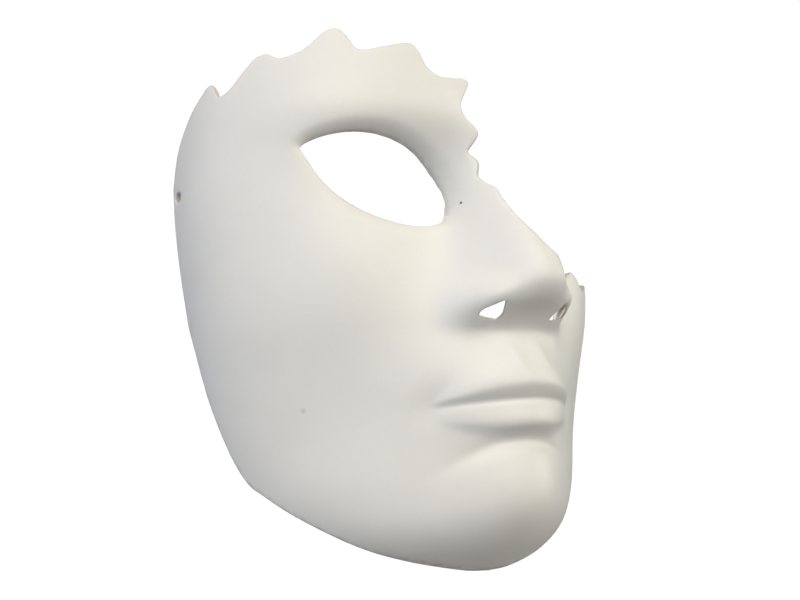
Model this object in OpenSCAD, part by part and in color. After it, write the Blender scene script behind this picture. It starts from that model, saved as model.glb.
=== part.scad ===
// Full-face masquerade mask with a broken upper edge, as worn: +Z up, the face looks along -Y,
// +X is the wearer's left. The origin is on the eye line, in the middle of the rear rim plane.

/* [Face] */
// Overall width, from temple to temple
face_w = 154; // [142:1:166]
// Depth from the rear rim to the cheeks beside the nose
face_d = 64; // [58:1:70]
// Height of the nose tip above the cheeks
nose_h = 25.5; // [20:0.5:28]
// Half width of the closed mouth
mouth_w = 26.5; // [23:0.5:29]

/* [Shell] */
// Wall thickness of the moulded shell
wall = 2.0; // [1.6:0.1:2.4]
// Depth by which the rim of the eye opening turns in
eye_roll = 3.8; // [2:0.2:4.4]
// Diameter of the two plain holes for a ribbon or elastic
tie_hole_d = 3.0; // [2:0.5:4]
// Distance from the rear rim to the middle of a tie hole
tie_inset = 3.6; // [3.4:0.1:5]

/* [Inside] */
// Thickness of the felt lining
felt = 1.0; // [0.6:0.1:1.5]
// Thickness of the foam pads
foam = 5.0; // [3:0.5:7]
// Gap left for the glue under felt and foam
glue_gap = 0.25; // [0.2:0.05:0.4]
// Bare margin between the lining and every edge of the shell
lining_margin = 4; // [3:0.5:6]

/* [Smoothness] */
// Columns of facets from rim to rim
columns = 58; // [40:2:60]
// Rows of facets from chin to forehead
rows = 46; // [36:2:48]

/* [Hidden] */

wide = face_w / 154;
deep = face_d / 64;
felt_depth = wall + glue_gap;
foam_depth = felt_depth + felt + glue_gap;

// Half width at the rear rim, by height
HALF_WIDTH = [[-122, 30], [-112, 47.5], [-100, 59], [-85, 65.6], [-60, 71.4], [-30, 75.4],
              [0, 77], [30, 74.8], [55, 69], [80, 58]];
// Distance from the rear rim plane to the front, by height
FRONT = [[-122, 42], [-115, 54], [-108, 60], [-98, 62], [-85, 63.5], [-65, 65], [-45, 65],
         [-15, 64], [10, 66], [30, 69], [50, 67], [65, 61], [80, 50]];
// Exponent of the horizontal section: 2 is an ellipse, less is more pointed
SQUARENESS = [[-122, 1.9], [-100, 1.7], [-80, 1.62], [-60, 1.7], [-40, 1.9], [0, 2.1],
              [40, 2.2], [80, 2.2]];
// Profile of the nose as a share of nose_h, by height
NOSE_PROFILE = [[-60, 0], [-54, 0.02], [-51, 0.1], [-48, 0.4], [-45, 0.7], [-41, 0.92],
                [-37, 1], [-31, 0.98], [-20, 0.78], [-8, 0.53], [2, 0.35], [12, 0.21],
                [24, 0.08], [36, 0]];
// Half width of the nose, by height
NOSE_WIDTH = [[-55, 15], [-45, 16], [-36, 14.5], [-20, 12], [0, 11], [15, 13], [30, 18]];

// Rear rim under the ear and along the jaw: height by angle from the middle of the chin
JAW_RIM = [[0, -122], [16, -121.3], [35, -118.5], [47, -115], [56, -110], [66, -100.5],
           [74, -92], [77.5, -88.5], [80, -83], [82, -76], [86, -60], [88, -48], [90, -37]];
// Rear rim above the ear: height by angle
TEMPLE_RIM = [[0, 52], [60, 50], [74, 40], [78, 36], [82, 31.5], [86, 24.5], [88, 19], [90, 9]];

// Broken edge from the right temple across the forehead to the nose: angle, height.
// Its first point lies past the rim.
FOREHEAD_EDGE = [[-96, 37.5], [-76.5, 37.5], [-74.8, 38], [-73.2, 36], [-72.2, 33.8], [-71, 32.5],
                 [-69, 32.8], [-67, 34], [-65, 36.2], [-62, 39.5], [-60, 41.5], [-58, 42.2],
                 [-56.4, 42.3], [-54, 40.6], [-52, 39.6], [-48.5, 40], [-45, 41.5], [-42, 44.4],
                 [-39.5, 46.8], [-37, 47.4], [-35.4, 46.6], [-33, 42.6], [-31.5, 39.8],
                 [-29.8, 39], [-24, 40.2], [-18.5, 41.4], [-16.6, 40.9], [-15, 38],
                 [-14, 34.2], [-12.8, 32], [-11, 30.4], [-7, 30.1], [-4.8, 30.2]];
// Broken edge from the forehead down the nose and over the left cheek: angle, height.
// Its last point lies past the rim.
NOSE_EDGE = [[-3.8, 28.8], [-4.6, 26.4], [-6.5, 22.2], [-7, 20], [-6.4, 16.6], [-5, 14.1],
             [-3.9, 11.4], [-4.7, 8.8], [-5.8, 6], [-5, 4], [-4.4, 2.2], [-4.9, -2.2],
             [-4.3, -5], [-3.2, -7.6], [-3.1, -11], [-2.8, -15], [-2.3, -19], [-1, -24],
             [0.8, -29], [3, -31.5], [7, -31], [11, -32], [15, -33.5], [19, -34.5],
             [23, -33.5], [27, -31], [31, -27.5], [34, -28.4], [39, -32], [44, -31],
             [50, -28], [57, -26.5], [62, -31], [67, -30], [73, -34], [79, -33], [84, -35.5],
             [90, -34], [96, -34]];
BROKEN_EDGE = concat(FOREHEAD_EDGE, NOSE_EDGE);

// Eye opening: its two corners in the frontal plane, and the bulge of each lid
EYE_OUT = [-55.3, 9.8];
EYE_IN = [-16.3, -14.6];
UPPER_LID = [15.4, 0.7, 0.45];   // bulge, and the exponents of its two ends
LOWER_LID = [9, 0.9, 0.7];
LID_POINTS = 14;
eye_bend = 4.6;                  // width of the turned-in rim

// Nostril as a rounded outline in the frontal plane, on the wearer's left
NOSTRIL = [[15.8, -47.3], [12.2, -46], [10.6, -48.3], [13.6, -47.9]];
nostril_round = 0.7;

// ---------------------------------------------------------------- curves
function bell(t) = exp(-t * t);
// A bell with one width below its top and another above it
function hill(t, below, above) = bell(t / (t < 0 ? below : above));
function ramp(a, b, t) = let (k = max(0, min(1, (t - a) / (b - a)))) k * k * (3 - 2 * k);
function slope_at(k, i) =
    let (a = max(i - 1, 0), b = min(i + 1, len(k) - 1)) (k[b][1] - k[a][1]) / (k[b][0] - k[a][0]);
function span_of(k, t, i = 0) = i >= len(k) - 2 || t < k[i + 1][0] ? i : span_of(k, t, i + 1);
// Smooth curve through the [position, value] pairs in k
function curve(k, t_in) =
    let (t = max(k[0][0], min(k[len(k) - 1][0], t_in)),
         i = span_of(k, t),
         h = k[i + 1][0] - k[i][0],
         s = (t - k[i][0]) / h)
    k[i][1] * (1 - s * s * (3 - 2 * s)) + k[i + 1][1] * s * s * (3 - 2 * s)
    + h * s * (1 - s) * (slope_at(k, i) * (1 - s) - slope_at(k, i + 1) * s);

// ---------------------------------------------------------------- eye opening
eye_chord = norm(EYE_IN - EYE_OUT);
eye_dir = (EYE_IN - EYE_OUT) / eye_chord;
eye_up = [-eye_dir[1], eye_dir[0]];
function lid(shape, s) =
    let (p = shape[1], q = shape[2], top = pow(p / (p + q), p) * pow(q / (p + q), q))
    s <= 0 || s >= 1 ? 0 : shape[0] * pow(s, p) * pow(1 - s, q) / top;
function eased(i) = (1 - cos(180 * i / LID_POINTS)) / 2;
function lid_point(i, shape, side) =
    EYE_OUT + eye_dir * eye_chord * eased(i) + eye_up * side * lid(shape, eased(i));
EYE = concat([for (i = [0:LID_POINTS]) lid_point(i, UPPER_LID, 1)],
             [for (i = [LID_POINTS - 1:-1:1]) lid_point(i, LOWER_LID, -1)]);
function in_eye(p) =
    let (d = p - EYE_OUT, s = d * eye_dir / eye_chord, h = d * eye_up)
    h < lid(UPPER_LID, s) && h > -lid(LOWER_LID, s);
function to_segment(p, a, b) =
    let (ab = b - a, s = max(0, min(1, (p - a) * ab / (ab * ab)))) norm(p - a - ab * s);
function near_eye(p) = p[0] > -66 && p[0] < -6 && p[1] > -28 && p[1] < 24;
function eye_distance(p) =
    !near_eye(p) ? 100 : in_eye(p) ? 0
    : min([for (i = [0:len(EYE) - 1]) to_segment(p, EYE[i], EYE[(i + 1) % len(EYE)])]);

// ---------------------------------------------------------------- face surface
// Each feature is a height over the plain head form: x is across the face, z is up
function brow(x, z) = 2.2 * bell((z - 18 - 0.1 * (abs(x) - 30)) / 9) * ramp(76, 50, abs(x));
function socket(x, z) =
    -6 * bell((abs(x) - 32) / 17) * bell((z - 0.5) / 12)
    - 3 * bell((abs(x) - 16) / 7) * bell((z + 4) / 11);
function cheek(x, z) =
    2.6 * bell((abs(x) - 47) / 17) * bell((z + 31) / 17)
    - 1.8 * bell((abs(x) - 43) / 13) * bell((z + 71) / 15);
function nose(x, z) =
    nose_h * curve(NOSE_PROFILE, z) * exp(-pow(abs(x) / curve(NOSE_WIDTH, z), 2.6))
    + 7 * bell((abs(x) - 16) / 5.5) * bell((z + 43) / 7);
function philtrum(x, z) =
    ramp(-67, -62, z) * ramp(-52, -60, z) * (0.9 * bell((abs(x) - 5.5) / 2.8) - 1.3 * bell(x / 3.6));
mouth_z = -73;
// The muzzle, both lips, the line between them and the corners of the mouth
function lips(x, z) =
    let (t = max(0, 1 - x * x / (mouth_w * mouth_w)),
         high = 0.12 + 0.88 * pow(t, 0.9),
         low = 0.45 + 0.55 * t,
         h = z - mouth_z)
    10 * bell(x / 33) * bell((h - 7) / 20)
    + 3.3 * pow(t, 0.8) * hill(h - 4.9 * high, 3.5 * high, 8.5 * high)
    + 3.4 * pow(t, 1.5) * hill(h + 7.2 * low, 2.9 * low, 6 * low)
    - 0.9 * pow(t, 0.5) * bell(h / 0.9)
    - 1.2 * bell((abs(x) - mouth_w) / 5) * bell(h / 6);
// The chin, and the fold over it
function chin(x, z) =
    7 * bell(x / 22) * bell((z + 99.5) / 13)
    - 2.2 * bell(x / 17) * bell((z + 84.2 + 5 * pow(x / 20, 2)) / 2.8);
// The rim turns in fully under the brow and less along the lower lid
function rolled(p) = 0.35 + 0.65 * ramp(-3, 4, (p - EYE_OUT) * eye_up);
function eye_rim(x, z) =
    -eye_roll * rolled([x, z]) * pow(max(0, 1 - eye_distance([x, z]) / eye_bend), 2);
function relief(x, z) =
    brow(x, z) + socket(x, z) + cheek(x, z) + nose(x, z) + philtrum(x, z)
    + lips(x, z) + chin(x, z) + eye_rim(x, z);

// Point on the outer face: u is the angle round the head from the middle of the face
function outer(u, z) =
    let (e = 2 / curve(SQUARENESS, z),
         x = wide * curve(HALF_WIDTH, z) * sign(u) * pow(abs(sin(u)), e),
         d = deep * curve(FRONT, z) * pow(max(0, cos(u)), e))
    [x, -d - relief(x, z), z];
function unit(v) = v / norm(v);
// Outward direction of the face, from two short steps across it
function outward(u, z) =
    let (across = outer(min(u + 1, 90), z) - outer(max(u - 1, -90), z),
         up = outer(u, z + 0.7) - outer(u, z - 0.7))
    unit(cross(across, up));
// Point at a depth under the outer face
function under(u, z, depth) = outer(u, z) - outward(u, z) * depth;

function jaw_z(u) = curve(JAW_RIM, abs(u));
function temple_z(u) = curve(TEMPLE_RIM, abs(u));
// Columns are closer together at the nose and mouth
function column_angle(s) = 90 * (0.6 * s + 0.4 * s * s * s);

// ---------------------------------------------------------------- solids that follow the face
// Slab between two depths, over the angles in us and the heights lo(u) to hi(u)
module slab(us, lo, hi, steps, near, far) {
    n = len(us);
    m = steps + 1;
    function at(side, j, i) = side * n * m + j * m + i;
    function quad(a, b, c, d) = [[a, b, c], [a, c, d]];
    points = [for (depth = [near, far]) for (u = us) for (i = [0:steps])
        under(u, lo(u) + (hi(u) - lo(u)) * i / steps, depth)];
    faces = concat(
        [for (j = [0:n - 2]) for (i = [0:steps - 1]) each concat(
            quad(at(0, j, i), at(0, j, i + 1), at(0, j + 1, i + 1), at(0, j + 1, i)),
            quad(at(1, j, i), at(1, j + 1, i), at(1, j + 1, i + 1), at(1, j, i + 1)))],
        [for (j = [0:n - 2]) each concat(
            quad(at(0, j, 0), at(0, j + 1, 0), at(1, j + 1, 0), at(1, j, 0)),
            quad(at(0, j, steps), at(1, j, steps), at(1, j + 1, steps), at(0, j + 1, steps)))],
        [for (i = [0:steps - 1]) each concat(
            quad(at(0, 0, i), at(1, 0, i), at(1, 0, i + 1), at(0, 0, i + 1)),
            quad(at(0, n - 1, i), at(0, n - 1, i + 1), at(1, n - 1, i + 1), at(1, n - 1, i)))]);
    polyhedron(points = points, faces = faces);
}

// Point off the plain head form, for the cutter: negative depths lie outside
form_radius = 70;       // mean radius of the head form
nose_lift = 8;          // how far the cutter's points lean out beside the nose
function lift(u) = nose_lift * ramp(25, 5, abs(u));
function off_form(p, depth) =
    let (z = max(-118, min(50, p[1])), r = 1 - depth / form_radius)
    [wide * curve(HALF_WIDTH, z) * sin(p[0]) * r,
     -deep * curve(FRONT, z) * cos(p[0]) * r - lift(p[0]), p[1]];

// Everything above the broken edge, moved down by drop. The cutter is a strip: each point of
// the edge gives four corners, inside and outside the wall, at the edge and high above it.
cut_inside = 24;        // reach of the cutter to the inside of the wall
cut_outside = 34;       // reach to the outside, past the tip of the nose
cut_top = 80;           // height of its upper side
fan_start = 13;         // angles of its upper side, past the corner by the nose
fan_step = 3;
module broken_away(drop = 0) {
    last = len(BROKEN_EDGE) - 1;
    corner = len(FOREHEAD_EDGE) - 1;
    function top(i) = [i <= corner ? BROKEN_EDGE[i][0] : fan_start + fan_step * (i - corner), cut_top];
    function edge(i) = [BROKEN_EDGE[i][0], BROKEN_EDGE[i][1] - drop];
    points = [for (i = [0:last]) each [
        off_form(edge(i), cut_inside), off_form(edge(i), -cut_outside),
        off_form(top(i), -cut_outside), off_form(top(i), cut_inside)]];
    faces = concat(
        [[3, 2, 1, 0]],
        [for (i = [0:last - 1]) for (k = [0:3]) let (a = 4 * i + k, b = 4 * i + (k + 1) % 4)
            each [[a, b + 4, a + 4], [a, b, b + 4]]],
        [[4 * last, 4 * last + 1, 4 * last + 2, 4 * last + 3]]);
    polyhedron(points = points, faces = faces);
}

// Straight prism along Y through the front of the face
front_reach = 120;
module through_front() { rotate([90, 0, 0]) linear_extrude(front_reach) children(); }

module eye_opening(grow = 0) { through_front() offset(r = grow) polygon(EYE); }

module nostrils() {
    for (side = [-1, 1]) through_front() scale([side, 1]) offset(r = nostril_round) polygon(NOSTRIL);
}

// Tie holes: one at each temple side, at the height where the rim still stands
tie_right_z = 5;
tie_left_z = -40;
tie_reach = 24;         // length of the drill
module tie_hole(side, z) {
    translate([side * face_w / 2, -tie_inset, z]) rotate([0, 90, 0])
        cylinder(d = tie_hole_d, h = tie_reach, center = true, $fn = 32);
}

// ---------------------------------------------------------------- sub-parts
module shell() {
    us = [for (j = [0:columns]) column_angle(2 * j / columns - 1)];
    color("ivory") difference() {
        resize([0, 0, 0]) difference() {
            slab(us, function (u) jaw_z(u), function (u) temple_z(u), rows, 0, wall);
            broken_away();
            eye_opening();
            nostrils();
        }
        tie_hole(-1, tie_right_z);
        tie_hole(1, tie_left_z);
    }
}

function spread(a, b, n) = [for (i = [0:n]) a + (b - a) * i / n];
lining_end = 84;        // angle where the felt stops, clear of the tie holes
seam = 18;              // angle of the two seams beside the nose and chin
seam_gap = 0.6;         // angle left open at a seam
lining_left_top = -16;  // above the broken edge, which trims this panel
nose_trim = 38;         // how much lower the panel is cut beside the nostril
lining_chin_top = -57;
side_columns = 24;
chin_columns = 16;
tall_rows = 34;
low_rows = 20;

module lining_right() {
    color("tan") resize([0, 0, 0]) difference() {
        slab(spread(-lining_end, -seam, side_columns), function (u) jaw_z(u) + lining_margin,
             function (u) temple_z(u) - lining_margin, tall_rows, felt_depth, felt_depth + felt);
        broken_away(lining_margin);
        eye_opening(lining_margin);
    }
}

module lining_left() {
    color("tan") resize([0, 0, 0]) difference() {
        slab(spread(seam, lining_end, side_columns), function (u) jaw_z(u) + lining_margin,
             function (u) lining_left_top - nose_trim * ramp(2 * seam, seam, u), low_rows,
             felt_depth, felt_depth + felt);
        broken_away(lining_margin);
    }
}

module lining_chin() {
    color("tan") slab(spread(-seam + seam_gap, seam - seam_gap, chin_columns),
                      function (u) jaw_z(u) + lining_margin, function (u) lining_chin_top,
                      low_rows, felt_depth, felt_depth + felt);
}

// Foam pad: middle [angle, height], half size in degrees and mm
PAD_PROFILE = [[0.5, 0], [0.94, 0], [1, 0.25], [0.98, 0.6], [0.9, 0.88], [0.75, 1], [0.4, 1.02]];
pad_sides = 28;
pad_crown = 1.02;       // height of the middle, as a share of the foam's thickness
function blunt(c) = sign(c) * pow(abs(c), 0.7);
module pad(middle, half) {
    function at(r, a, h) =
        under(middle[0] + half[0] * r * blunt(cos(a)), middle[1] + half[1] * r * blunt(sin(a)),
              foam_depth + foam * h);
    function next(k) = (k + 1) % pad_sides;
    n = len(PAD_PROFILE);
    last_ring = 1 + (n - 1) * pad_sides;
    top = 1 + n * pad_sides;
    points = concat(
        [at(0, 0, 0)],
        [for (p = PAD_PROFILE) for (k = [0:pad_sides - 1]) at(p[0], 360 * k / pad_sides, p[1])],
        [at(0, 0, pad_crown)]);
    faces = concat(
        [for (k = [0:pad_sides - 1]) [0, 1 + k, 1 + next(k)]],
        [for (j = [0:n - 2]) for (k = [0:pad_sides - 1])
            let (a = 1 + j * pad_sides + k, b = 1 + j * pad_sides + next(k))
            each [[a, a + pad_sides, b + pad_sides], [a, b + pad_sides, b]]],
        [for (k = [0:pad_sides - 1]) [top, last_ring + next(k), last_ring + k]]);
    color("dimgray") polyhedron(points = points, faces = faces);
}

module forehead_pad() { pad([-40, 28], [17, 6]); }
module cheek_pad_right() { pad([-54, -46], [11, 15]); }
module cheek_pad_left() { pad([54, -56], [11, 15]); }
module chin_pad() { pad([0, -98], [15, 8]); }

shell();
lining_right();
lining_left();
lining_chin();
forehead_pad();
cheek_pad_right();
cheek_pad_left();
chin_pad();
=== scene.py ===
import math

import bpy
import numpy as np
from mathutils import Matrix, Vector, geometry, kdtree, noise


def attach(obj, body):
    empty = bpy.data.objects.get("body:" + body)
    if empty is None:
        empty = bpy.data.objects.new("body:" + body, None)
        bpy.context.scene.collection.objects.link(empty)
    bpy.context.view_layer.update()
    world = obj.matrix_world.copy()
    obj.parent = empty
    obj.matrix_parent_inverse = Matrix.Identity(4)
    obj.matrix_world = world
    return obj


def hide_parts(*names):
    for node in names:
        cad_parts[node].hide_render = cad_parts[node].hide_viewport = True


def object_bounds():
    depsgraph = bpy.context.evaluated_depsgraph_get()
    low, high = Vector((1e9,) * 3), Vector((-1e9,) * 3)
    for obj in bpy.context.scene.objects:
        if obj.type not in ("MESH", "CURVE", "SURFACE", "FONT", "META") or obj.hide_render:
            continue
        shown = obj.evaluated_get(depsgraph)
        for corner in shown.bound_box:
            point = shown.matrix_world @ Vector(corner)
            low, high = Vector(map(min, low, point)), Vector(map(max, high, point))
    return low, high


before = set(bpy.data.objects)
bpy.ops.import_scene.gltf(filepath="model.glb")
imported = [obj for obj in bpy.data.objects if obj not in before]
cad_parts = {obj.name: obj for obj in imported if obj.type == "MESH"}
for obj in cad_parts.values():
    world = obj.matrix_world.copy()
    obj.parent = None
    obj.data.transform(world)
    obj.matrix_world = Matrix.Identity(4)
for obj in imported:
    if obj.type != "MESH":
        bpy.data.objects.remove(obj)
cad_low, cad_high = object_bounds()

MM = 0.001  # the face is worked out in millimetres, in the frame of the CAD part

# ------------------------------------------------------------------ sizes shared with the CAD part
WALL = 2.0           # shell wall
FELT = 1.0           # lining
FOAM = 5.0           # pads
GLUE_GAP = 0.25
FELT_DEPTH = WALL + GLUE_GAP
FOAM_DEPTH = FELT_DEPTH + FELT + GLUE_GAP
LINING_MARGIN = 4.0  # bare shell between the felt and every edge
LINING_END = 84.0    # angle where the felt stops short of the tie holes
SEAM = 18.0          # angle of the two felt seams beside the nose and chin
NOSE_H = 25.5
MOUTH_W = 26.5
MOUTH_Z = -73.0
EYE_ROLL = 3.8       # how far the rim of the eye opening turns in
EYE_BEND = 4.6       # width of the bend
TIE_R = 1.5
TIE_HOLES = ((-1, 5.0, 3.6), (1, -40.0, 3.6))  # side, height and distance from the rear plane

# height, value
HALF_WIDTH = ((-122, 30), (-112, 47.5), (-100, 59), (-85, 65.6), (-60, 71.4), (-30, 75.4),
              (0, 77), (30, 74.8), (55, 69), (80, 58))
FRONT = ((-122, 42), (-115, 54), (-108, 60), (-98, 62), (-85, 63.5), (-65, 65), (-45, 65),
         (-15, 64), (10, 66), (30, 69), (50, 67), (65, 61), (80, 50))
SQUARENESS = ((-122, 1.9), (-100, 1.7), (-80, 1.62), (-60, 1.7), (-40, 1.9), (0, 2.1), (40, 2.2), (80, 2.2))
NOSE_PROFILE = ((-60, 0), (-54, 0.02), (-51, 0.1), (-48, 0.4), (-45, 0.7), (-41, 0.92),
                (-37, 1), (-31, 0.98), (-20, 0.78), (-8, 0.53), (2, 0.35), (12, 0.21),
                (24, 0.08), (36, 0))
NOSE_WIDTH = ((-55, 15), (-45, 16), (-36, 14.5), (-20, 12), (0, 11), (15, 13), (30, 18))
# angle from the middle of the face, height
JAW_RIM = ((0, -122), (16, -121.3), (35, -118.5), (47, -115), (56, -110), (66, -100.5),
           (74, -92), (77.5, -88.5), (80, -83), (82, -76), (86, -60), (88, -48), (90, -37))
TEMPLE_RIM = ((0, 52), (60, 50), (74, 40), (78, 36), (82, 31.5), (86, 24.5), (88, 19), (90, 9))
FOREHEAD_EDGE = ((-76.5, 37.5), (-74.8, 38), (-73.2, 36), (-72.2, 33.8), (-71, 32.5), (-69, 32.8),
                 (-67, 34), (-65, 36.2), (-62, 39.5), (-60, 41.5), (-58, 42.2), (-56.4, 42.3),
                 (-54, 40.6), (-52, 39.6), (-48.5, 40), (-45, 41.5), (-42, 44.4), (-39.5, 46.8),
                 (-37, 47.4), (-35.4, 46.6), (-33, 42.6), (-31.5, 39.8), (-29.8, 39), (-24, 40.2),
                 (-18.5, 41.4), (-16.6, 40.9), (-15, 38), (-14, 34.2), (-12.8, 32), (-11, 30.4),
                 (-7, 30.1), (-4.8, 30.2))
NOSE_EDGE = ((-3.8, 28.8), (-4.6, 26.4), (-6.5, 22.2), (-7, 20), (-6.4, 16.6), (-5, 14.1),
             (-3.9, 11.4), (-4.7, 8.8), (-5.8, 6), (-5, 4), (-4.4, 2.2), (-4.9, -2.2), (-4.3, -5),
             (-3.2, -7.6), (-3.1, -11), (-2.8, -15), (-2.3, -19), (-1, -24), (0.8, -29), (3, -31.5),
             (7, -31), (11, -32), (15, -33.5), (19, -34.5), (23, -33.5), (27, -31), (31, -27.5),
             (34, -28.4), (39, -32), (44, -31), (50, -28), (57, -26.5), (62, -31), (67, -30),
             (73, -34), (79, -33), (84, -35.5), (90, -34))
EYE_OUT = np.array((-55.3, 9.8))
EYE_IN = np.array((-16.3, -14.6))
UPPER_LID = (15.4, 0.7, 0.45)
LOWER_LID = (9, 0.9, 0.7)
NOSTRIL = ((15.8, -47.3), (12.2, -46), (10.6, -48.3), (13.6, -47.9))
NOSTRIL_ROUND = 0.7
NOSTRIL_WALL = 0.7     # the wall is thinned to this at the nostrils
NOSTRIL_FADE = 4.5     # distance over which it gets back to its full thickness
LINING_LEFT_TOP = -16.0
NOSE_TRIM = 38.0       # how much lower the left panel is cut beside the nostril
SEAM_GAP = 0.4         # degrees between two felt panels
CHIN_TOP = -57.0
# middle and half size of each pad, as angle and height
PADS = {"forehead_pad": ((-40, 28), (17, 6)), "cheek_pad_right": ((-54, -46), (11, 15)),
        "cheek_pad_left": ((54, -56), (11, 15)), "chin_pad": ((0, -98), (15, 8))}
# share of the half size, share of the foam's thickness, from the glued side to the crown
PAD_SECTION = ((0, 0), (0.5, 0), (0.95, 0), (1, 0.07), (0.995, 0.2), (0.96, 0.27), (0.925, 0.28),
               (0.9, 0.36), (0.875, 0.52), (0.835, 0.7), (0.76, 0.87), (0.64, 0.98), (0.45, 1.05),
               (0.22, 1.08), (0, 1.09))

# ------------------------------------------------------------------ fineness of the meshes
MM_PER_DEGREE = 1.25   # evens out the two directions when a flat outline is meshed
EDGE_STEP = 0.8
RIM_ROWS = 5           # rows of points round a rim
TIE_SIDES = 28
CORNER_STEPS = 5       # steps round each corner of a nostril
PAD_SIDES = 88
SOFT = 2.2             # mm over which the inside is evened out
SLIVER = 0.03          # mm2, below which a triangle along an outline is dropped
ROW = 0.866            # height of an even triangle of side 1

# ------------------------------------------------------------------ marks, camera and light
PINHOLE_SHADE = (-11.6, -65.6, -10.1)  # painted shade of a pin-hole beside the nose bridge: the hole is not cut, its dark inside is painted near-black, mm
SPOT = (-54.8, -32.7, -69.0)   # faint spot low on the right cheek, mm
TARGET = Vector((0, -38, -30)) * MM
BACK = Vector((-0.594, -0.775, -0.216)).normalized()  # from the target towards the camera
DISTANCE = 0.42
ROLL = math.radians(-6.5)
FLOOR_DROP = 250       # the mask floats above the floor, so no floor line shows in the main view
FLOOR_REACH = 1300
FLOOR_SIDES = 96
FLOOR_GLOW = 0.75
SPREAD = 40            # degrees; grids on the lights keep them off the floor
# name, direction, distance, size, power, colour
LIGHTS = (
    ("key", (-0.08, -0.88, 0.47), 1.2, 0.7, 0.34, (1.0, 0.93, 0.76)),
    ("face", (0.1, -0.99, 0.1), 1.2, 0.7, 0.39, (1.0, 0.94, 0.83)),
    ("camera_side", (-0.58, -0.69, 0.42), 1.2, 0.7, 0.39, (1.0, 0.97, 0.86)),
    ("ear_side", (-0.95, -0.28, 0.12), 1.2, 0.7, 0.25, (0.6, 0.77, 1.0)),
    ("far_side", (0.96, -0.27, 0.02), 1.2, 0.7, 0.4, (0.94, 1.0, 0.95)),
    ("temple", (-0.85, 0.31, 0.42), 1.2, 0.7, 0.31, (0.99, 0.95, 1.0)),
    ("top", (-0.3, -0.44, 0.85), 1.2, 0.7, 0.17, (1.0, 0.78, 0.6)),
    ("back", (0.25, 1, 0.35), 1.4, 1.0, 1.2, (1.0, 0.98, 0.95)),
)
AMBIENT = 0.015
AMBIENT_COLOUR = (0.95, 0.98, 1)
BACKDROP = 1.05


# ------------------------------------------------------------------ curves and bumps
def bell(t):
    return np.exp(-t * t)


def hill(t, below, above):
    """A bell with one width below its top and another above it."""
    return bell(t / np.where(t < 0, below, above))


def ramp(a, b, t):
    k = np.clip((t - a) / (b - a), 0, 1)
    return k * k * (3 - 2 * k)


def curve(keys, t):
    """Smooth curve through (position, value) pairs."""
    at, value = np.array(keys, float).T
    slope = np.empty_like(value)
    slope[1:-1] = (value[2:] - value[:-2]) / (at[2:] - at[:-2])
    slope[0] = (value[1] - value[0]) / (at[1] - at[0])
    slope[-1] = (value[-1] - value[-2]) / (at[-1] - at[-2])
    t = np.clip(t, at[0], at[-1])
    i = np.clip(np.searchsorted(at, t, side="right") - 1, 0, len(at) - 2)
    h = at[i + 1] - at[i]
    s = (t - at[i]) / h
    blend = s * s * (3 - 2 * s)
    bow = h * s * (1 - s) * (slope[i] * (1 - s) - slope[i + 1] * s)
    return value[i] * (1 - blend) + value[i + 1] * blend + bow


# ------------------------------------------------------------------ eye opening
EYE_CHORD = np.linalg.norm(EYE_IN - EYE_OUT)
EYE_DIR = (EYE_IN - EYE_OUT) / EYE_CHORD
EYE_UP = np.array((-EYE_DIR[1], EYE_DIR[0]))


def lid(shape, s):
    bulge, p, q = shape
    top = (p / (p + q)) ** p * (q / (p + q)) ** q
    s = np.clip(s, 0, 1)
    return bulge * s ** p * (1 - s) ** q / top


def eye_loop(count=70, grow=0.0):
    """The eye opening in the frontal plane, anticlockwise, moved out by grow."""
    s = (1 - np.cos(np.linspace(0, np.pi, count + 1))) / 2
    upper = EYE_OUT + np.outer(s * EYE_CHORD, EYE_DIR) + np.outer(lid(UPPER_LID, s), EYE_UP)
    lower = EYE_OUT + np.outer(s * EYE_CHORD, EYE_DIR) - np.outer(lid(LOWER_LID, s), EYE_UP)
    loop = np.concatenate([lower[:-1], upper[:0:-1]])
    if grow:
        middle = loop.mean(0)
        away = loop - middle
        loop = loop + grow * away / np.linalg.norm(away, axis=1)[:, None]
    return loop


def in_loop(points, loop):
    """Which of the points lie inside a closed loop."""
    x, y = points[:, 0][:, None], points[:, 1][:, None]
    x1, y1 = loop.T
    x2, y2 = np.roll(loop, -1, 0).T
    dy = np.where(y2 == y1, 1e-12, y2 - y1)
    crosses = ((y1 > y) != (y2 > y)) & (x < (x2 - x1) * (y - y1) / dy + x1)
    return crosses.sum(1) % 2 == 1


def to_loop(points, loop):
    """Distance from each point to a closed loop."""
    ends = np.roll(loop, -1, 0)
    best = np.full(len(points), 1e9)
    for a, b in zip(loop, ends):
        ab = b - a
        s = np.clip((points - a) @ ab / (ab @ ab), 0, 1)
        best = np.minimum(best, np.linalg.norm(points - a - s[:, None] * ab, axis=1))
    return best


EYE = eye_loop(14)


def eye_distance(x, z):
    points = np.stack([x, z], -1).reshape(-1, 2)
    out = np.full(len(points), 100.0)
    near = (points[:, 0] > -66) & (points[:, 0] < -6) & (points[:, 1] > -28) & (points[:, 1] < 24)
    close = points[near]
    out[near] = np.where(in_loop(close, EYE), 0, to_loop(close, EYE))
    return out.reshape(np.shape(x))


def rolled(x, z):
    """The rim turns in fully under the brow and less along the lower lid."""
    height = (x - EYE_OUT[0]) * EYE_UP[0] + (z - EYE_OUT[1]) * EYE_UP[1]
    return 0.35 + 0.65 * ramp(-3, 4, height)


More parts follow.
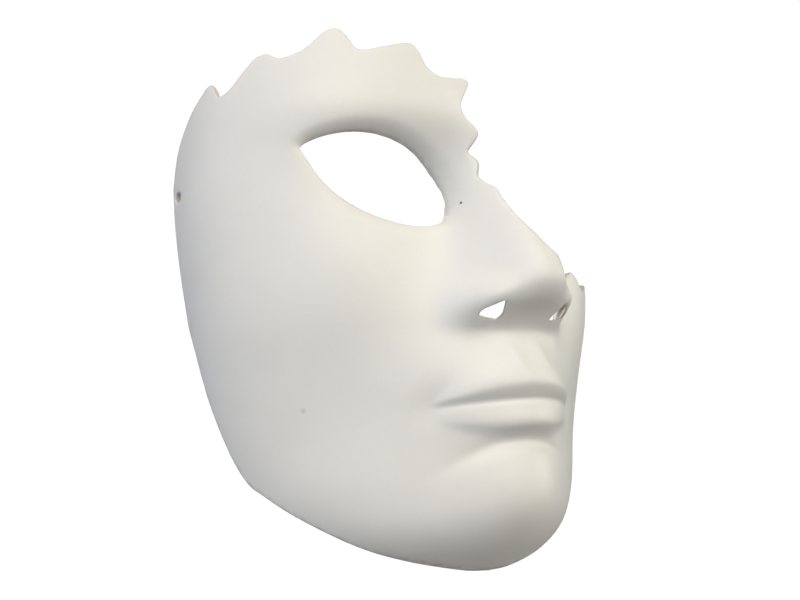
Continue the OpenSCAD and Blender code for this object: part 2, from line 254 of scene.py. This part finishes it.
# ------------------------------------------------------------------ face surface
def relief(x, z):
    ax = np.abs(x)
    brow = 2.2 * bell((z - 18 - 0.1 * (ax - 30)) / 9) * ramp(76, 50, ax)
    socket = -6 * bell((ax - 32) / 17) * bell((z - 0.5) / 12) - 3 * bell((ax - 16) / 7) * bell((z + 4) / 11)
    cheek = (2.6 * bell((ax - 47) / 17) * bell((z + 31) / 17)
             - 1.8 * bell((ax - 43) / 13) * bell((z + 71) / 15))
    bridge = NOSE_H * curve(NOSE_PROFILE, z) * np.exp(-(ax / curve(NOSE_WIDTH, z)) ** 2.6)
    wings = 7 * bell((ax - 16) / 5.5) * bell((z + 43) / 7)
    groove = ramp(-67, -62, z) * ramp(-52, -60, z) * (0.9 * bell((ax - 5.5) / 2.8) - 1.3 * bell(x / 3.6))
    fold = -2.2 * bell(x / 17) * bell((z + 84.2 + 5 * (x / 20) ** 2) / 2.8)
    chin = 7 * bell(x / 22) * bell((z + 99.5) / 13) + fold
    eye_rim = -EYE_ROLL * rolled(x, z) * np.maximum(0, 1 - eye_distance(x, z) / EYE_BEND) ** 2
    return brow + socket + cheek + bridge + wings + groove + lips(x, z) + chin + eye_rim


def lips(x, z):
    t = np.clip(1 - (x / MOUTH_W) ** 2, 0, 1)
    h = z - MOUTH_Z
    high = 0.12 + 0.88 * t ** 0.9
    low = 0.45 + 0.55 * t
    muzzle = 10 * bell(x / 33) * bell((h - 7) / 20)
    upper = 3.3 * t ** 0.8 * hill(h - 4.9 * high, 3.5 * high, 8.5 * high)
    lower = 3.4 * t ** 1.5 * hill(h + 7.2 * low, 2.9 * low, 6 * low)
    parting = -0.9 * t ** 0.5 * bell(h / 0.9)
    corners = -1.2 * bell((np.abs(x) - MOUTH_W) / 5) * bell(h / 6)
    return muzzle + upper + lower + parting + corners


def outer(u, z):
    """Points on the outer face, for angles in degrees and heights in mm."""
    a = np.radians(u)
    e = 2 / curve(SQUARENESS, z)
    x = curve(HALF_WIDTH, z) * np.sign(a) * np.abs(np.sin(a)) ** e
    d = curve(FRONT, z) * np.maximum(0, np.cos(a)) ** e
    return np.stack([x, -d - relief(x, z), z + 0 * x], -1)


def outward(u, z):
    across = outer(np.minimum(u + 0.5, 90), z) - outer(np.maximum(u - 0.5, -90), z)
    up = outer(u, z + 0.4) - outer(u, z - 0.4)
    n = np.cross(across, up)
    return n / np.linalg.norm(n, axis=-1, keepdims=True)


def angle_at(x, z):
    """The angle at which the face has this x."""
    e = 2 / curve(SQUARENESS, z)
    share = np.clip(np.abs(x) / curve(HALF_WIDTH, z), 0, 1)
    return np.degrees(np.sign(x) * np.arcsin(share ** (1 / e)))


def beneath(u, z, depth, soft):
    """Points at a depth under the outer face, evened out over a radius of soft mm."""
    depth = np.broadcast_to(np.asarray(depth, float), u.shape)[:, None]
    total = outer(u, z) - outward(u, z) * depth
    turns = np.arange(0, 360, 45)
    for turn in np.radians(turns):
        uu = np.clip(u + soft * math.cos(turn) / MM_PER_DEGREE, -90, 90)
        zz = z + soft * math.sin(turn)
        total = total + outer(uu, zz) - outward(uu, zz) * depth
    return total / (len(turns) + 1)


# ------------------------------------------------------------------ outlines, as angle and height
def through(points, step=EDGE_STEP):
    """Smooth curve through the points, at an even step (mm)."""
    p = np.array(points, float) * (MM_PER_DEGREE, 1)
    p = np.concatenate([2 * p[:1] - p[1:2], p, 2 * p[-1:] - p[-2:-1]])
    line = []
    for p0, p1, p2, p3 in zip(p, p[1:], p[2:], p[3:]):
        k0, k1, k2 = (max(1e-6, np.linalg.norm(b - a)) ** 0.5
                      for a, b in ((p0, p1), (p1, p2), (p2, p3)))
        m1 = (p2 - p1) + k1 * ((p1 - p0) / k0 - (p2 - p0) / (k0 + k1))
        m2 = (p2 - p1) + k1 * ((p3 - p2) / k2 - (p3 - p1) / (k1 + k2))
        s = np.linspace(0, 1, 24, endpoint=False)[:, None]
        line.append(p1 * (1 + 2 * s) * (1 - s) ** 2 + p2 * s * s * (3 - 2 * s)
                    + m1 * s * (1 - s) ** 2 - m2 * s * s * (1 - s))
    line = np.concatenate(line + [p[-2:-1]])
    return evenly(line, step) / (MM_PER_DEGREE, 1)


def evenly(line, step):
    run = np.concatenate([[0], np.cumsum(np.linalg.norm(np.diff(line, axis=0), axis=1))])
    count = max(2, round(run[-1] / step))
    at = np.linspace(0, run[-1], count + 1)
    return np.stack([np.interp(at, run, line[:, k]) for k in (0, 1)], -1)


def jaw_line(margin, start, end):
    u = np.linspace(start, end, 240)
    return evenly(np.stack([u * MM_PER_DEGREE, curve(JAW_RIM, np.abs(u)) + margin], -1),
                  EDGE_STEP) / (MM_PER_DEGREE, 1)


def temple_line(start, end, margin=0):
    u = np.linspace(start, end, 60)
    return evenly(np.stack([u * MM_PER_DEGREE, curve(TEMPLE_RIM, np.abs(u)) - margin], -1),
                  EDGE_STEP) / (MM_PER_DEGREE, 1)


def straight(a, b):
    return evenly(np.array([a, b], float) * (MM_PER_DEGREE, 1), EDGE_STEP) / (MM_PER_DEGREE, 1)


def joined(*runs):
    """One closed loop from runs of points that meet end to end."""
    loop = np.concatenate(runs)
    keep = np.linalg.norm((loop - np.roll(loop, 1, 0)) * (MM_PER_DEGREE, 1), axis=1) > 0.3 * EDGE_STEP
    return loop[keep]


def inset(loop, by):
    """A closed anticlockwise loop moved inwards."""
    p = loop * (MM_PER_DEGREE, 1)
    along = np.roll(p, -1, 0) - np.roll(p, 1, 0)
    along /= np.linalg.norm(along, axis=1, keepdims=True)
    return (p + by * np.stack([-along[:, 1], along[:, 0]], -1)) / (MM_PER_DEGREE, 1)


def on_face(loop):
    """A loop in the frontal plane as angle and height."""
    return np.stack([angle_at(loop[:, 0], loop[:, 1]), loop[:, 1]], -1)


def nostril_loop(side):
    corners = np.array(NOSTRIL) * (side, 1)
    middle = corners.mean(0)
    ring = []
    for corner, before, after in zip(corners, np.roll(corners, 1, 0), np.roll(corners, -1, 0)):
        start = math.atan2(*(corner - before)[::-1]) - side * math.pi / 2
        end = math.atan2(*(after - corner)[::-1]) - side * math.pi / 2
        sweep = (end - start) * side % (2 * math.pi) * side
        for k in range(CORNER_STEPS + 1):
            turn = start + sweep * k / CORNER_STEPS
            ring.append(corner + NOSTRIL_ROUND * np.array((math.cos(turn), math.sin(turn))))
    loop = np.array(ring)
    return loop if side > 0 else loop[::-1]


def tie_loop(side, height, depth):
    """The round tie hole as angle and height."""
    turn = np.linspace(0, 2 * np.pi, TIE_SIDES, endpoint=False)
    z = height + TIE_R * np.sin(turn)
    target = depth - TIE_R * np.cos(turn)
    low, high = np.full(TIE_SIDES, 70.0), np.full(TIE_SIDES, 90.0)
    for _ in range(30):
        mid = (low + high) / 2
        deeper = -outer(side * mid, z)[:, 1] > target
        low, high = np.where(deeper, mid, low), np.where(deeper, high, mid)
    loop = np.stack([side * low, z], -1)
    return loop if side > 0 else loop[::-1]


# ------------------------------------------------------------------ meshing
def flat_mesh(rim, holes, fine, coarse):
    """Triangles over the region inside rim and outside holes.

    Returns the points, the triangles, the loops of indices and each point's distance from a loop.
    """
    scale = np.array((MM_PER_DEGREE, 1))
    loops = [loop * scale for loop in [rim, *holes]]
    points, edges, rings = [], [], []
    for loop in loops:
        first = len(points)
        points += [tuple(p) for p in loop]
        ring = list(range(first, first + len(loop)))
        rings.append(ring)
        edges += list(zip(ring, ring[1:] + ring[:1]))
    tree = kdtree.KDTree(len(points))
    for i, p in enumerate(points):
        tree.insert((*p, 0), i)
    tree.balance()
    low, high = loops[0].min(0), loops[0].max(0)
    rows = np.arange(low[1], high[1], fine * ROW)
    grid = np.array([(x + (fine / 2 if j % 2 else 0), y, (j % 2 == 0) and (i + j // 2) % 2 == 0)
                     for j, y in enumerate(rows) for i, x in enumerate(np.arange(low[0], high[0], fine))])
    wanted = in_region(grid[:, :2], loops)
    wanted &= (grid[:, 2] > 0) | detailed(grid[:, :2] / scale) | (coarse <= fine)
    for x, y, _ in grid[wanted]:
        if tree.find((x, y, 0))[2] > 0.55 * fine:
            points.append((x, y))
    out = geometry.delaunay_2d_cdt([Vector(p) for p in points], edges, [], 0, 1e-6, True)
    verts = np.array([tuple(p) for p in out[0]])
    index = {}
    for new, old in enumerate(out[3]):
        for k in old:
            index[k] = new
    faces = np.array([tuple(f) for f in out[2]])
    faces = faces[in_region(verts[faces].mean(1), loops)]
    a, b, c = (verts[faces[:, k]] for k in range(3))
    area = np.abs(np.cross(b - a, c - a)) / 2
    outline = np.isin(faces, [index[k] for ring in rings for k in ring]).all(1)
    faces = faces[~(outline & (area < SLIVER))]
    used = np.unique(faces)
    renumber = np.full(len(verts), -1)
    renumber[used] = np.arange(len(used))
    rings = [[int(renumber[index[k]]) for k in ring] for ring in rings]
    gap = np.array([tree.find((*verts[k], 0))[2] for k in used])
    return verts[used] / scale, renumber[faces], rings, gap


def in_region(points, loops):
    inside = in_loop(points, loops[0])
    for loop in loops[1:]:
        inside &= ~in_loop(points, loop)
    return inside


def detailed(p):
    """Where the face needs the fine mesh: eye, nose, mouth and chin."""
    x = curve(HALF_WIDTH, p[:, 1]) * np.sin(np.radians(p[:, 0]))
    z = p[:, 1]
    mouth = (np.abs(x) < 38) & (z > -92) & (z < -56)
    nose = (np.abs(x) < 26) & (z > -58) & (z < -20)
    eye = (x > -64) & (x < -8) & (z > -28) & (z < 26)
    return mouth | nose | eye


def closed_sheet(name, rim, holes, near, far, fine, coarse, bulge, soft, bumps=None):
    """A closed mesh between two depths under the face, with rounded rims.

    The point attribute "side" says where a point is: 0 on the front, 1 on a rim, 2 on the back.
    """
    loops = [inset(rim, bulge)] + [inset(hole, -bulge) for hole in holes]
    flat, tris, rings, gap = flat_mesh(loops[0], loops[1:], fine, coarse)
    u, z = flat.T
    radius = soft(gap)
    front = outer(u, z) if near == 0 else beneath(u, z, near, radius)
    back = beneath(u, z, far(u, z) if callable(far) else far, radius)
    if bumps is not None:
        back = back - bumps(back)[:, None] * outward(u, z)
        front = front - bumps(front + 40)[:, None] * outward(u, z) * (near > 0)
    n = len(u)
    verts = [front, back]
    side = [np.zeros(n), np.full(n, 2.0)]
    faces = [tris, tris[:, ::-1] + n]
    count = 2 * n
    for k, ring in enumerate(rings):
        ring = np.array(ring if k == 0 else ring[::-1])
        o, i = front[ring], back[ring]
        along = np.roll(o, -1, 0) - np.roll(o, 1, 0)
        away = np.cross(along, o - i)
        away /= np.linalg.norm(away, axis=1, keepdims=True)
        previous = ring
        for row in range(1, RIM_ROWS + 1):
            turn = math.pi * row / (RIM_ROWS + 1)
            verts.append((o + i) / 2 + math.cos(turn) * (o - i) / 2 + math.sin(turn) * bulge * away)
            side.append(np.ones(len(ring)))
            current = np.arange(count, count + len(ring))
            count += len(ring)
            faces += strip(previous, current)
            previous = current
        faces += strip(previous, ring + n)
    piece = new_mesh(name, np.concatenate(verts), np.concatenate(faces))
    point_value(piece, "side", np.concatenate(side))
    return piece


def strip(a, b):
    a2, b2 = np.roll(a, -1), np.roll(b, -1)
    return [np.stack([a2, a, b], -1), np.stack([a2, b, b2], -1)]


def new_mesh(name, verts, faces):
    """A smooth mesh object from points in millimetres."""
    mesh = bpy.data.meshes.new(name)
    mesh.from_pydata((np.asarray(verts) * MM).tolist(), [], [tuple(int(k) for k in f) for f in faces])
    mesh.shade_smooth()
    piece = bpy.data.objects.new(name, mesh)
    bpy.context.scene.collection.objects.link(piece)
    return piece


def point_value(piece, name, values):
    piece.data.attributes.new(name, "FLOAT", "POINT").data.foreach_set("value", values.astype(np.float32))


def uneven(scale, height):
    """A function that gives points in mm a small random height, the same on each run."""
    return lambda points: np.array([height * noise.noise(Vector(p) / scale) for p in points])


# ------------------------------------------------------------------ shell
def shell_rim():
    """Jaw, left side, broken edge, temple and right side, anticlockwise seen from the front."""
    broken = through(FOREHEAD_EDGE + NOSE_EDGE)
    return joined(jaw_line(0, -90, 90), straight((90, JAW_RIM[-1][1]), NOSE_EDGE[-1]), broken[::-1],
                  temple_line(FOREHEAD_EDGE[0][0], -90),
                  straight((-90, TEMPLE_RIM[-1][1]), (-90, JAW_RIM[-1][1])))


def wall_at(u, z):
    """Wall thickness: the shell is thinned towards the nostrils."""
    points = outer(u, z)[:, ::2]
    gap = np.minimum(*(to_loop(points, np.array(NOSTRIL) * (side, 1)) for side in (-1, 1)))
    return WALL - (WALL - NOSTRIL_WALL) * ramp(NOSTRIL_FADE, NOSTRIL_ROUND, gap)


def make_shell():
    holes = [on_face(eye_loop()), on_face(nostril_loop(-1)), on_face(nostril_loop(1)),
             *[tie_loop(*hole) for hole in TIE_HOLES]]
    shell = closed_sheet("mask_shell", shell_rim(), holes, near=0, far=wall_at, fine=0.8, coarse=1.6,
                         bulge=0.45, soft=lambda gap: SOFT * ramp(0.5, 4, gap))
    shell.data.materials.append(plastic())
    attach(shell, "root")
    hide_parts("shell")


# ------------------------------------------------------------------ felt lining
def cut_edge(points, drop):
    """The broken edge moved down and cut to a smooth line, as scissors leave it."""
    line = through(points) - (0, drop)
    reach = 4
    padded = np.concatenate([np.repeat(line[:1], reach, 0), line, np.repeat(line[-1:], reach, 0)])
    return np.mean([padded[k:k + len(line)] for k in range(2 * reach + 1)], axis=0)


def rounded(loop, times=3):
    for _ in range(times):
        loop = (np.roll(loop, 1, 0) + 2 * loop + np.roll(loop, -1, 0)) / 4
    return loop


def lining_right_rim():
    top = cut_edge(FOREHEAD_EDGE, LINING_MARGIN + 0.5)
    top = top[(top[:, 0] < -SEAM) & (top[:, 0] > -73)]
    eye = on_face(eye_loop(grow=LINING_MARGIN))
    first = int(np.argmax((eye[:, 0] < -SEAM) & (np.roll(eye[:, 0], 1) >= -SEAM)))
    eye = np.roll(eye, -first, 0)
    eye = eye[eye[:, 0] < -SEAM][::-1]
    jaw = jaw_line(LINING_MARGIN, -LINING_END, -SEAM)
    temple = temple_line(-75, -LINING_END, LINING_MARGIN)
    return joined(jaw, straight(jaw[-1], eye[0]), eye, straight(eye[-1], top[-1]), top[::-1],
                  straight(top[0], temple[0]), temple, straight(temple[-1], jaw[0]))


def lining_left_rim():
    top = cut_edge(NOSE_EDGE, LINING_MARGIN + 0.5)
    top = top[(top[:, 0] > SEAM) & (top[:, 0] < LINING_END)]
    top[:, 1] = np.minimum(top[:, 1], LINING_LEFT_TOP - NOSE_TRIM * ramp(2 * SEAM, SEAM, top[:, 0]))
    jaw = jaw_line(LINING_MARGIN, SEAM, LINING_END)
    return joined(jaw, straight(jaw[-1], top[-1]), top[::-1], straight(top[0], jaw[0]))


def lining_chin_rim():
    jaw = jaw_line(LINING_MARGIN, -SEAM + SEAM_GAP, SEAM - SEAM_GAP)
    low, high = (-SEAM + SEAM_GAP, CHIN_TOP), (SEAM - SEAM_GAP, CHIN_TOP)
    return joined(jaw, straight(jaw[-1], high), straight(high, low), straight(low, jaw[0]))


def make_lining():
    cloth = felt()
    for node, rim in (("lining_right", lining_right_rim()), ("lining_left", lining_left_rim()),
                      ("lining_chin", lining_chin_rim())):
        panel = closed_sheet(node + "_felt", rounded(rim), [], near=FELT_DEPTH, far=FELT_DEPTH + FELT,
                             fine=1.25, coarse=1.25, bulge=0.35, soft=lambda gap: SOFT + 0 * gap,
                             bumps=lambda p: uneven(3.1, 0.12)(p) + uneven(1.3, 0.07)(p))
        panel.data.materials.append(cloth)
        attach(panel, "root")
        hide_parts(node)


# ------------------------------------------------------------------ foam pads
def section(points, grow=20, steps=48):
    """A smooth line through the points of a section, drawn larger and then brought back to size."""
    large = [(a / MM_PER_DEGREE * grow, b * grow) for a, b in points]
    return through(large, step=grow / steps) * (MM_PER_DEGREE / grow, 1 / grow)


def make_pad(node, middle, half, material):
    """A foam pad with a brushed cover, pressed flat round its edge. Half is in degrees and mm."""
    line = section(PAD_SECTION)
    turn = np.linspace(0, 2 * np.pi, PAD_SIDES, endpoint=False)

    def blunt(c):
        return np.sign(c) * np.abs(c) ** 0.7

    rings = line[1:-1]
    r, h = (np.repeat(rings[:, k], PAD_SIDES) for k in (0, 1))
    a = np.tile(turn, len(rings))
    u = np.concatenate([[middle[0]], middle[0] + half[0] * r * blunt(np.cos(a)), [middle[0]]])
    z = np.concatenate([[middle[1]], middle[1] + half[1] * r * blunt(np.sin(a)), [middle[1]]])
    height = np.concatenate([[line[0, 1]], h, [line[-1, 1]]])
    verts = beneath(u, z, FOAM_DEPTH + FOAM * height, np.full(len(u), SOFT))
    lift = uneven(9, 0.35)(verts) + uneven(2.2, 0.06)(verts)
    verts = verts - outward(u, z) * (lift * ramp(0.3, 0.9, height))[:, None]
    faces = []
    for j in range(len(rings) - 1):
        first = 1 + j * PAD_SIDES
        ring = np.arange(first, first + PAD_SIDES)
        faces += [tuple(q) for q in np.stack([ring, np.roll(ring, -1), np.roll(ring, -1) + PAD_SIDES,
                                              ring + PAD_SIDES], -1)]
    last = 1 + (len(rings) - 1) * PAD_SIDES
    for k in range(PAD_SIDES):
        k2 = (k + 1) % PAD_SIDES
        faces.append((0, 1 + k2, 1 + k))
        faces.append((len(u) - 1, last + k, last + k2))
    pad = new_mesh(node + "_foam", verts, faces)
    point_value(pad, "pressed", 1 - ramp(0.3, 0.5, height))
    pad.data.materials.append(material)
    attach(pad, "root")
    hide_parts(node)


def make_pads():
    cover = foam()
    for node, (middle, half) in PADS.items():
        make_pad(node, middle, half, cover)


# ------------------------------------------------------------------ materials
class Nodes:
    """A material's node tree, with short calls for the nodes used here."""

    def __init__(self, name):
        self.material = bpy.data.materials.new(name)
        self.material.use_nodes = True
        self.tree = self.material.node_tree
        self.shader = self.tree.nodes["Principled BSDF"]
        self.place = self.add("ShaderNodeTexCoord").outputs["Object"]

    def add(self, kind, links=None, **settings):
        node = self.tree.nodes.new(kind)
        for key, value in settings.items():
            setattr(node, key, value)
        for key, value in (links or {}).items():
            if isinstance(value, bpy.types.NodeSocket):
                self.tree.links.new(value, node.inputs[key])
            else:
                node.inputs[key].default_value = value
        return node

    def noise(self, size_mm, detail=2.0, rough=0.5, distortion=0.0):
        links = {"Vector": self.place, "Scale": 1 / (size_mm * MM), "Detail": detail,
                 "Roughness": rough, "Distortion": distortion}
        return self.add("ShaderNodeTexNoise", links).outputs["Fac"]

    def value(self, source, low, high, out_low=0.0, out_high=1.0):
        links = {"Value": source, "From Min": low, "From Max": high, "To Min": out_low, "To Max": out_high}
        return self.add("ShaderNodeMapRange", links).outputs["Result"]

    def mix(self, factor, a, b):
        node = self.add("ShaderNodeMix", data_type="RGBA")
        for socket, value in zip((node.inputs[0], node.inputs[6], node.inputs[7]), (factor, a, b)):
            if isinstance(value, bpy.types.NodeSocket):
                self.tree.links.new(value, socket)
            else:
                socket.default_value = value if isinstance(value, float) else (*value, 1)
        return node.outputs[2]

    def attribute(self, name):
        return self.add("ShaderNodeAttribute", attribute_name=name).outputs["Fac"]

    def near(self, point_mm, radius_mm):
        """1 at a point of the object, 0 further than the radius."""
        gap = self.add("ShaderNodeVectorMath", {0: self.place, 1: tuple(Vector(point_mm) * MM)},
                       operation="DISTANCE").outputs["Value"]
        return self.value(gap, 0.5 * radius_mm * MM, radius_mm * MM, 1.0, 0.0)

    def bump(self, height, depth_mm, strength=1.0, under=None):
        links = {"Height": height, "Distance": depth_mm * MM, "Strength": strength}
        if under is not None:
            links["Normal"] = under
        return self.add("ShaderNodeBump", links).outputs["Normal"]

    def finish(self, **inputs):
        for key, value in inputs.items():
            socket = self.shader.inputs[key.replace("_", " ")]
            if isinstance(value, bpy.types.NodeSocket):
                self.tree.links.new(value, socket)
            else:
                socket.default_value = value
        return self.material


def plastic():
    """White satin coat over a moulded shell that is left raw inside."""
    n = Nodes("white_coated_plastic")
    cloudy = n.value(n.noise(34, 3, 0.6), 0.3, 0.7)
    white = n.mix(cloudy, (0.825, 0.82, 0.81), (0.86, 0.855, 0.845))
    grain = n.value(n.noise(0.9, 3, 0.6), 0.35, 0.65)
    white = n.mix(n.value(grain, 0, 1, 0.0, 0.12), white, (0.74, 0.735, 0.725))
    # painted shade: a real pin-hole beside the nose bridge, shown only by its dark inside painted as
    # near-black colour
    pinhole_shade = n.near(PINHOLE_SHADE, 0.55)
    white = n.mix(pinhole_shade, white, (0.10, 0.09, 0.08))
    white = n.mix(n.value(n.near(SPOT, 1.0), 0, 1, 0, 0.35), white, (0.5, 0.42, 0.38))
    side = n.attribute("side")
    raw = n.mix(n.value(n.noise(6, 4, 0.6), 0.3, 0.7), (0.50, 0.455, 0.385), (0.60, 0.555, 0.48))
    edge = n.mix(n.value(side, 0.2, 1.0), white, (0.66, 0.64, 0.60))
    colour = n.mix(n.value(side, 1.0, 1.8), edge, raw)
    rough = n.value(n.noise(5, 3, 0.6), 0.3, 0.7, 0.44, 0.58)
    normal = n.bump(n.noise(11, 2), 0.10, 0.5)
    normal = n.bump(n.noise(0.55, 2, 0.6), 0.012, 0.6, normal)
    return n.finish(Base_Color=colour, Roughness=rough, Normal=normal, IOR=1.49,
                    Subsurface_Weight=0.06, Subsurface_Radius=(1.0, 0.8, 0.6), Subsurface_Scale=0.003)


def felt():
    """Pressed wool felt: matted fibres, slightly flecked."""
    n = Nodes("tan_felt")
    tangle = n.noise(0.7, 5, 0.75, 2.5)
    fibre = n.add("ShaderNodeTexWave", {"Vector": n.place, "Scale": 1 / (2.2 * MM), "Distortion": 14.0,
                                        "Detail": 4.0, "Detail Scale": 2.5, "Detail Roughness": 0.7})
    fibre = fibre.outputs["Fac"]
    cloudy = n.value(n.noise(14, 3, 0.6), 0.3, 0.7)
    base = n.mix(cloudy, (0.335, 0.275, 0.205), (0.43, 0.365, 0.285))
    base = n.mix(n.value(tangle, 0.35, 0.7, 0.0, 0.6), base, (0.215, 0.17, 0.125))
    flecks = n.value(n.noise(1.6, 2, 0.5), 0.66, 0.72)
    base = n.mix(n.value(flecks, 0, 1, 0, 0.3), base, (0.52, 0.46, 0.38))
    normal = n.bump(tangle, 0.22, 0.8)
    normal = n.bump(fibre, 0.08, 0.5, normal)
    rough = n.value(tangle, 0.3, 0.7, 0.85, 1.0)
    return n.finish(Base_Color=base, Roughness=rough, Normal=normal, Sheen_Weight=0.35,
                    Sheen_Roughness=0.5, Specular_IOR_Level=0.2)


def foam():
    """Charcoal foam under a fine brushed knit, pressed smooth round the edge."""
    n = Nodes("charcoal_foam")
    cells = n.add("ShaderNodeTexVoronoi", {"Vector": n.place, "Scale": 1 / (0.75 * MM)}).outputs["Distance"]
    fluff = n.noise(0.5, 4, 0.7, 1.0)
    pressed = n.attribute("pressed")
    base = n.mix(n.value(fluff, 0.35, 0.7), (0.042, 0.043, 0.047), (0.085, 0.086, 0.09))
    base = n.mix(n.value(pressed, 0.3, 1.0, 0.0, 0.55), base, (0.03, 0.03, 0.033))
    normal = n.bump(cells, 0.16, 0.7)
    normal = n.bump(fluff, 0.06, 0.6, normal)
    rough = n.value(pressed, 0.0, 1.0, 0.95, 0.7)
    return n.finish(Base_Color=base, Roughness=rough, Normal=normal, Sheen_Weight=0.25,
                    Sheen_Roughness=0.4, Specular_IOR_Level=0.25)


def pale_floor():
    """The lights leave the floor dim, so it also glows, for the camera only."""
    n = Nodes("pale_floor")
    tone = n.mix(n.value(n.noise(180, 3), 0.3, 0.7), (0.60, 0.60, 0.595), (0.64, 0.64, 0.635))
    glow = n.value(n.add("ShaderNodeLightPath").outputs["Is Camera Ray"], 0.0, 1.0, 0.0, FLOOR_GLOW)
    return n.finish(Base_Color=tone, Roughness=n.value(n.noise(60, 3), 0.3, 0.7, 0.7, 0.85),
                    Emission_Color=tone, Emission_Strength=glow)


# ------------------------------------------------------------------ stage, camera and light
def make_floor():
    turn = np.linspace(0, 2 * np.pi, FLOOR_SIDES, endpoint=False)
    height = cad_low.z / MM - FLOOR_DROP
    verts = [(FLOOR_REACH * math.cos(a), FLOOR_REACH * math.sin(a), height) for a in turn]
    floor = new_mesh("floor", verts, [tuple(range(FLOOR_SIDES))])
    floor.data.materials.append(pale_floor())


def make_camera():
    data = bpy.data.cameras.new("camera")
    data.lens = 57.5
    data.sensor_width = 36
    data.shift_x, data.shift_y = -0.0575, -0.015
    data.clip_start, data.clip_end = 0.01, 60
    camera = bpy.data.objects.new("camera", data)
    side = Vector((0, 0, 1)).cross(BACK).normalized()
    up = BACK.cross(side)
    right = math.cos(ROLL) * side + math.sin(ROLL) * up
    top = math.cos(ROLL) * up - math.sin(ROLL) * side
    turn = Matrix((right, top, BACK)).transposed().to_4x4()
    camera.matrix_world = Matrix.Translation(TARGET + DISTANCE * BACK) @ turn
    bpy.context.scene.collection.objects.link(camera)
    bpy.context.scene.camera = camera


def area_light(name, direction, distance, size, power, colour):
    data = bpy.data.lights.new(name, "AREA")
    data.shape = "DISK"
    data.size = size
    data.energy = power
    data.color = colour
    data.spread = math.radians(SPREAD)
    light = bpy.data.objects.new(name, data)
    toward = Vector(direction).normalized()
    light.location = TARGET + toward * distance
    light.rotation_mode = "QUATERNION"
    light.rotation_quaternion = toward.to_track_quat("Z", "Y")
    bpy.context.scene.collection.objects.link(light)


def make_lights():
    """Soft lights, a dim ambient, and a white backdrop that only the camera sees."""
    for light in LIGHTS:
        area_light(*light)
    world = bpy.data.worlds.new("studio")
    bpy.context.scene.world = world
    world.use_nodes = True
    tree = world.node_tree
    ambient = tree.nodes["Background"]
    ambient.inputs["Color"].default_value = (*AMBIENT_COLOUR, 1)
    ambient.inputs["Strength"].default_value = AMBIENT
    backdrop = tree.nodes.new("ShaderNodeBackground")
    backdrop.inputs["Color"].default_value = (1, 1, 1, 1)
    backdrop.inputs["Strength"].default_value = BACKDROP
    seen = tree.nodes.new("ShaderNodeLightPath")
    mix = tree.nodes.new("ShaderNodeMixShader")
    tree.links.new(seen.outputs["Is Camera Ray"], mix.inputs[0])
    tree.links.new(ambient.outputs[0], mix.inputs[1])
    tree.links.new(backdrop.outputs[0], mix.inputs[2])
    tree.links.new(mix.outputs[0], tree.nodes["World Output"].inputs["Surface"])
    bpy.context.scene.view_settings.view_transform = "Standard"


make_camera()
make_floor()
make_lights()
make_shell()
make_lining()
make_pads()
